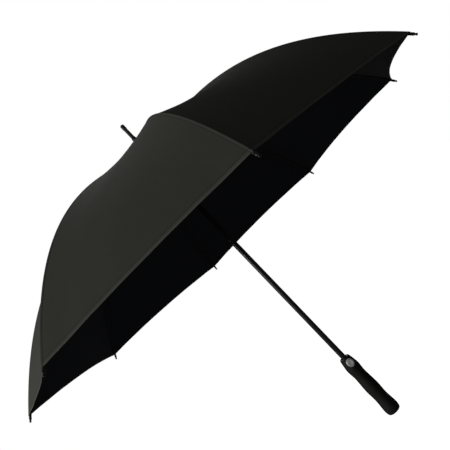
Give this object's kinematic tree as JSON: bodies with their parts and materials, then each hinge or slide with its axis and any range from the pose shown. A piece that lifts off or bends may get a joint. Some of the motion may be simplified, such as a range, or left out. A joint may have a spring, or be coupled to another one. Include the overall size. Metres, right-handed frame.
{
  "type": "golf umbrella",
  "caption": "Black golf umbrella shown open: domed cloth canopy on fibreglass ribs, straight shaft with ferrule, contoured grip and release button.",
  "frame": {"origin": "on the shaft axis, halfway up the grip, where a hand holds it", "axes": "+Z along the shaft towards the ferrule; the release button faces -Y"},
  "size_m": [1.2936, 1.2936, 1],
  "materials": {
    "cloth": "black pongee weave, matt with a faint sheen",
    "rib": "black fibreglass",
    "steel": "black-coated steel",
    "plastic": "black moulded plastic, satin",
    "shaft": "black, satin",
    "grip": "black soft-touch rubber",
    "silver": "silver-finished plastic"
  },
  "bodies": {
    "frame": {"shaft": "shaft", "notch": "plastic", "notch_wire": "steel", "top_cap": "plastic", "ferrule": "plastic", "grip": "grip", "end_cap": "plastic", "grip_collar": "plastic", "button_bezel": "silver"},
    "button_body": {"button": "silver"},
    "runner_body": {"runner": "plastic", "runner_wire": "steel"},
    "rib_1": {"rib_1_inner": "rib"},
    "rib_1_end": {"rib_1_outer": "rib", "rib_1_tip": "steel"},
    "stretcher_body_1": {"stretcher_1": "steel"},
    "panel_1_top": {"panel_1_upper": "cloth"},
    "panel_1_hem": {"panel_1_lower": "cloth"},
    "rib_2": {"rib_2_inner": "rib"},
    "rib_2_end": {"rib_2_outer": "rib", "rib_2_tip": "steel"},
    "stretcher_body_2": {"stretcher_2": "steel"},
    "panel_2_top": {"panel_2_upper": "cloth"},
    "panel_2_hem": {"panel_2_lower": "cloth"},
    "rib_3": {"rib_3_inner": "rib"},
    "rib_3_end": {"rib_3_outer": "rib", "rib_3_tip": "steel"},
    "stretcher_body_3": {"stretcher_3": "steel"},
    "panel_3_top": {"panel_3_upper": "cloth"},
    "panel_3_hem": {"panel_3_lower": "cloth"},
    "rib_4": {"rib_4_inner": "rib"},
    "rib_4_end": {"rib_4_outer": "rib", "rib_4_tip": "steel"},
    "stretcher_body_4": {"stretcher_4": "steel"},
    "panel_4_top": {"panel_4_upper": "cloth"},
    "panel_4_hem": {"panel_4_lower": "cloth"},
    "rib_5": {"rib_5_inner": "rib"},
    "rib_5_end": {"rib_5_outer": "rib", "rib_5_tip": "steel"},
    "stretcher_body_5": {"stretcher_5": "steel"},
    "panel_5_top": {"panel_5_upper": "cloth"},
    "panel_5_hem": {"panel_5_lower": "cloth"},
    "rib_6": {"rib_6_inner": "rib"},
    "rib_6_end": {"rib_6_outer": "rib", "rib_6_tip": "steel"},
    "stretcher_body_6": {"stretcher_6": "steel"},
    "panel_6_top": {"panel_6_upper": "cloth"},
    "panel_6_hem": {"panel_6_lower": "cloth"},
    "rib_7": {"rib_7_inner": "rib"},
    "rib_7_end": {"rib_7_outer": "rib", "rib_7_tip": "steel"},
    "stretcher_body_7": {"stretcher_7": "steel"},
    "panel_7_top": {"panel_7_upper": "cloth"},
    "panel_7_hem": {"panel_7_lower": "cloth"},
    "rib_8": {"rib_8_inner": "rib"},
    "rib_8_end": {"rib_8_outer": "rib", "rib_8_tip": "steel"},
    "stretcher_body_8": {"stretcher_8": "steel"},
    "panel_8_top": {"panel_8_upper": "cloth"},
    "panel_8_hem": {"panel_8_lower": "cloth"}
  },
  "joints": [
    {"name": "open_close", "type": "hinge", "parent": "frame", "child": "rib_1", "pos_m": [0.0115, 0, 0.7975], "axis": [0, 1, 0], "range_deg": [0, 79.58], "stiffness_Nm_per_rad": 1.2, "springref_deg": -51.57, "deforming": ["panel_1_upper", "panel_1_lower", "panel_2_upper", "panel_2_lower", "panel_3_upper", "panel_3_lower", "panel_4_upper", "panel_4_lower", "panel_5_upper", "panel_5_lower", "panel_6_upper", "panel_6_lower", "panel_7_upper", "panel_7_lower", "panel_8_upper", "panel_8_lower"]},
    {"name": "rib_1_flex", "type": "hinge", "parent": "rib_1", "child": "rib_1_end", "pos_m": [0.35843, 0, 0.74415], "axis": [0, 1, 0], "range_deg": [-30.15, 0]},
    {"name": "stretcher_1_fold", "type": "hinge", "parent": "rib_1", "child": "stretcher_body_1", "pos_m": [0.34199, 0, 0.74264], "axis": [0, 1, 0], "range_deg": [-159.18, 0]},
    {"name": "panel_1_fold", "type": "hinge", "parent": "frame", "child": "panel_1_top", "pos_m": [0.00982, 0.00407, 0.7975], "axis": [-0.3827, 0.9239, 0], "range_deg": [0, 78.94]},
    {"name": "panel_1_bend", "type": "hinge", "parent": "panel_1_top", "child": "panel_1_hem", "pos_m": [0.30562, 0.12659, 0.74396], "axis": [-0.3827, 0.9239, 0], "range_deg": [-31.73, 0]},
    {"name": "rib_2_fold", "type": "hinge", "parent": "frame", "child": "rib_2", "pos_m": [0.00813, 0.00813, 0.7975], "axis": [-0.7071, 0.7071, 0], "range_deg": [0, 79.6]},
    {"name": "rib_2_flex", "type": "hinge", "parent": "rib_2", "child": "rib_2_end", "pos_m": [0.25344, 0.25344, 0.74415], "axis": [-0.7071, 0.7071, 0], "range_deg": [-30.15, 0]},
    {"name": "stretcher_2_fold", "type": "hinge", "parent": "rib_2", "child": "stretcher_body_2", "pos_m": [0.24182, 0.24182, 0.74264], "axis": [-0.7071, 0.7071, 0], "range_deg": [-159.18, 0]},
    {"name": "panel_2_fold", "type": "hinge", "parent": "frame", "child": "panel_2_top", "pos_m": [0.00407, 0.00982, 0.7975], "axis": [-0.9239, 0.3827, 0], "range_deg": [0, 78.94]},
    {"name": "panel_2_bend", "type": "hinge", "parent": "panel_2_top", "child": "panel_2_hem", "pos_m": [0.12659, 0.30562, 0.74396], "axis": [-0.9239, 0.3827, 0], "range_deg": [-31.73, 0]},
    {"name": "rib_3_fold", "type": "hinge", "parent": "frame", "child": "rib_3", "pos_m": [0, 0.0115, 0.7975], "axis": [-1, 0, 0], "range_deg": [0, 79.6]},
    {"name": "rib_3_flex", "type": "hinge", "parent": "rib_3", "child": "rib_3_end", "pos_m": [0, 0.35843, 0.74415], "axis": [-1, 0, 0], "range_deg": [-30.15, 0]},
    {"name": "stretcher_3_fold", "type": "hinge", "parent": "rib_3", "child": "stretcher_body_3", "pos_m": [0, 0.34199, 0.74264], "axis": [-1, 0, 0], "range_deg": [-159.18, 0]},
    {"name": "panel_3_fold", "type": "hinge", "parent": "frame", "child": "panel_3_top", "pos_m": [-0.00407, 0.00982, 0.7975], "axis": [-0.9239, -0.3827, 0], "range_deg": [0, 78.94]},
    {"name": "panel_3_bend", "type": "hinge", "parent": "panel_3_top", "child": "panel_3_hem", "pos_m": [-0.12659, 0.30562, 0.74396], "axis": [-0.9239, -0.3827, 0], "range_deg": [-31.73, 0]},
    {"name": "rib_4_fold", "type": "hinge", "parent": "frame", "child": "rib_4", "pos_m": [-0.00813, 0.00813, 0.7975], "axis": [-0.7071, -0.7071, 0], "range_deg": [0, 79.6]},
    {"name": "rib_4_flex", "type": "hinge", "parent": "rib_4", "child": "rib_4_end", "pos_m": [-0.25344, 0.25344, 0.74415], "axis": [-0.7071, -0.7071, 0], "range_deg": [-30.15, 0]},
    {"name": "stretcher_4_fold", "type": "hinge", "parent": "rib_4", "child": "stretcher_body_4", "pos_m": [-0.24182, 0.24182, 0.74264], "axis": [-0.7071, -0.7071, 0], "range_deg": [-159.18, 0]},
    {"name": "panel_4_fold", "type": "hinge", "parent": "frame", "child": "panel_4_top", "pos_m": [-0.00982, 0.00407, 0.7975], "axis": [-0.3827, -0.9239, 0], "range_deg": [0, 78.94]},
    {"name": "panel_4_bend", "type": "hinge", "parent": "panel_4_top", "child": "panel_4_hem", "pos_m": [-0.30562, 0.12659, 0.74396], "axis": [-0.3827, -0.9239, 0], "range_deg": [-31.73, 0]},
    {"name": "rib_5_fold", "type": "hinge", "parent": "frame", "child": "rib_5", "pos_m": [-0.0115, 0, 0.7975], "axis": [0, -1, 0], "range_deg": [0, 79.6]},
    {"name": "rib_5_flex", "type": "hinge", "parent": "rib_5", "child": "rib_5_end", "pos_m": [-0.35843, 0, 0.74415], "axis": [0, -1, 0], "range_deg": [-30.15, 0]},
    {"name": "stretcher_5_fold", "type": "hinge", "parent": "rib_5", "child": "stretcher_body_5", "pos_m": [-0.34199, 0, 0.74264], "axis": [0, -1, 0], "range_deg": [-159.18, 0]},
    {"name": "panel_5_fold", "type": "hinge", "parent": "frame", "child": "panel_5_top", "pos_m": [-0.00982, -0.00407, 0.7975], "axis": [0.3827, -0.9239, 0], "range_deg": [0, 78.94]},
    {"name": "panel_5_bend", "type": "hinge", "parent": "panel_5_top", "child": "panel_5_hem", "pos_m": [-0.30562, -0.12659, 0.74396], "axis": [0.3827, -0.9239, 0], "range_deg": [-31.73, 0]},
    {"name": "rib_6_fold", "type": "hinge", "parent": "frame", "child": "rib_6", "pos_m": [-0.00813, -0.00813, 0.7975], "axis": [0.7071, -0.7071, 0], "range_deg": [0, 79.6]},
    {"name": "rib_6_flex", "type": "hinge", "parent": "rib_6", "child": "rib_6_end", "pos_m": [-0.25344, -0.25344, 0.74415], "axis": [0.7071, -0.7071, 0], "range_deg": [-30.15, 0]},
    {"name": "stretcher_6_fold", "type": "hinge", "parent": "rib_6", "child": "stretcher_body_6", "pos_m": [-0.24182, -0.24182, 0.74264], "axis": [0.7071, -0.7071, 0], "range_deg": [-159.18, 0]},
    {"name": "panel_6_fold", "type": "hinge", "parent": "frame", "child": "panel_6_top", "pos_m": [-0.00407, -0.00982, 0.7975], "axis": [0.9239, -0.3827, 0], "range_deg": [0, 78.94]},
    {"name": "panel_6_bend", "type": "hinge", "parent": "panel_6_top", "child": "panel_6_hem", "pos_m": [-0.12659, -0.30562, 0.74396], "axis": [0.9239, -0.3827, 0], "range_deg": [-31.73, 0]},
    {"name": "rib_7_fold", "type": "hinge", "parent": "frame", "child": "rib_7", "pos_m": [0, -0.0115, 0.7975], "axis": [1, 0, 0], "range_deg": [0, 79.6]},
    {"name": "rib_7_flex", "type": "hinge", "parent": "rib_7", "child": "rib_7_end", "pos_m": [0, -0.35843, 0.74415], "axis": [1, 0, 0], "range_deg": [-30.15, 0]},
    {"name": "stretcher_7_fold", "type": "hinge", "parent": "rib_7", "child": "stretcher_body_7", "pos_m": [0, -0.34199, 0.74264], "axis": [1, 0, 0], "range_deg": [-159.18, 0]},
    {"name": "panel_7_fold", "type": "hinge", "parent": "frame", "child": "panel_7_top", "pos_m": [0.00407, -0.00982, 0.7975], "axis": [0.9239, 0.3827, 0], "range_deg": [0, 78.94]},
    {"name": "panel_7_bend", "type": "hinge", "parent": "panel_7_top", "child": "panel_7_hem", "pos_m": [0.12659, -0.30562, 0.74396], "axis": [0.9239, 0.3827, 0], "range_deg": [-31.73, 0]},
    {"name": "rib_8_fold", "type": "hinge", "parent": "frame", "child": "rib_8", "pos_m": [0.00813, -0.00813, 0.7975], "axis": [0.7071, 0.7071, 0], "range_deg": [0, 79.6]},
    {"name": "rib_8_flex", "type": "hinge", "parent": "rib_8", "child": "rib_8_end", "pos_m": [0.25344, -0.25344, 0.74415], "axis": [0.7071, 0.7071, 0], "range_deg": [-30.15, 0]},
    {"name": "stretcher_8_fold", "type": "hinge", "parent": "rib_8", "child": "stretcher_body_8", "pos_m": [0.24182, -0.24182, 0.74264], "axis": [0.7071, 0.7071, 0], "range_deg": [-159.18, 0]},
    {"name": "panel_8_fold", "type": "hinge", "parent": "frame", "child": "panel_8_top", "pos_m": [0.00982, -0.00407, 0.7975], "axis": [0.3827, 0.9239, 0], "range_deg": [0, 78.94]},
    {"name": "panel_8_bend", "type": "hinge", "parent": "panel_8_top", "child": "panel_8_hem", "pos_m": [0.30562, -0.12659, 0.74396], "axis": [0.3827, 0.9239, 0], "range_deg": [-31.73, 0]},
    {"name": "runner_slide", "type": "hinge", "parent": "stretcher_body_1", "child": "runner_body", "pos_m": [0.0115, 0, 0.6878], "axis": [0, 1, 0], "range_deg": [0, 79.6]},
    {"name": "button_press", "type": "slide", "parent": "frame", "child": "button_body", "axis": [0, 1, 0], "range_m": [0, 0.0025], "stiffness_N_per_m": 600, "springref_m": -0.001}
  ],
  "couplings": [
    {"joint": "rib_1_flex", "follows": "open_close", "ratio": -0.37866},
    {"joint": "stretcher_1_fold", "follows": "open_close", "ratio": -2},
    {"joint": "panel_1_fold", "follows": "open_close", "ratio": 0.99169},
    {"joint": "panel_1_bend", "follows": "open_close", "ratio": -0.3984},
    {"joint": "rib_2_fold", "follows": "open_close", "ratio": 1},
    {"joint": "rib_2_flex", "follows": "open_close", "ratio": -0.37866},
    {"joint": "stretcher_2_fold", "follows": "open_close", "ratio": -2},
    {"joint": "panel_2_fold", "follows": "open_close", "ratio": 0.99169},
    {"joint": "panel_2_bend", "follows": "open_close", "ratio": -0.3984},
    {"joint": "rib_3_fold", "follows": "open_close", "ratio": 1},
    {"joint": "rib_3_flex", "follows": "open_close", "ratio": -0.37866},
    {"joint": "stretcher_3_fold", "follows": "open_close", "ratio": -2},
    {"joint": "panel_3_fold", "follows": "open_close", "ratio": 0.99169},
    {"joint": "panel_3_bend", "follows": "open_close", "ratio": -0.3984},
    {"joint": "rib_4_fold", "follows": "open_close", "ratio": 1},
    {"joint": "rib_4_flex", "follows": "open_close", "ratio": -0.37866},
    {"joint": "stretcher_4_fold", "follows": "open_close", "ratio": -2},
    {"joint": "panel_4_fold", "follows": "open_close", "ratio": 0.99169},
    {"joint": "panel_4_bend", "follows": "open_close", "ratio": -0.3984},
    {"joint": "rib_5_fold", "follows": "open_close", "ratio": 1},
    {"joint": "rib_5_flex", "follows": "open_close", "ratio": -0.37866},
    {"joint": "stretcher_5_fold", "follows": "open_close", "ratio": -2},
    {"joint": "panel_5_fold", "follows": "open_close", "ratio": 0.99169},
    {"joint": "panel_5_bend", "follows": "open_close", "ratio": -0.3984},
    {"joint": "rib_6_fold", "follows": "open_close", "ratio": 1},
    {"joint": "rib_6_flex", "follows": "open_close", "ratio": -0.37866},
    {"joint": "stretcher_6_fold", "follows": "open_close", "ratio": -2},
    {"joint": "panel_6_fold", "follows": "open_close", "ratio": 0.99169},
    {"joint": "panel_6_bend", "follows": "open_close", "ratio": -0.3984},
    {"joint": "rib_7_fold", "follows": "open_close", "ratio": 1},
    {"joint": "rib_7_flex", "follows": "open_close", "ratio": -0.37866},
    {"joint": "stretcher_7_fold", "follows": "open_close", "ratio": -2},
    {"joint": "panel_7_fold", "follows": "open_close", "ratio": 0.99169},
    {"joint": "panel_7_bend", "follows": "open_close", "ratio": -0.3984},
    {"joint": "rib_8_fold", "follows": "open_close", "ratio": 1},
    {"joint": "rib_8_flex", "follows": "open_close", "ratio": -0.37866},
    {"joint": "stretcher_8_fold", "follows": "open_close", "ratio": -2},
    {"joint": "panel_8_fold", "follows": "open_close", "ratio": 0.99169},
    {"joint": "panel_8_bend", "follows": "open_close", "ratio": -0.3984},
    {"joint": "runner_slide", "follows": "open_close", "ratio": 1}
  ]
}
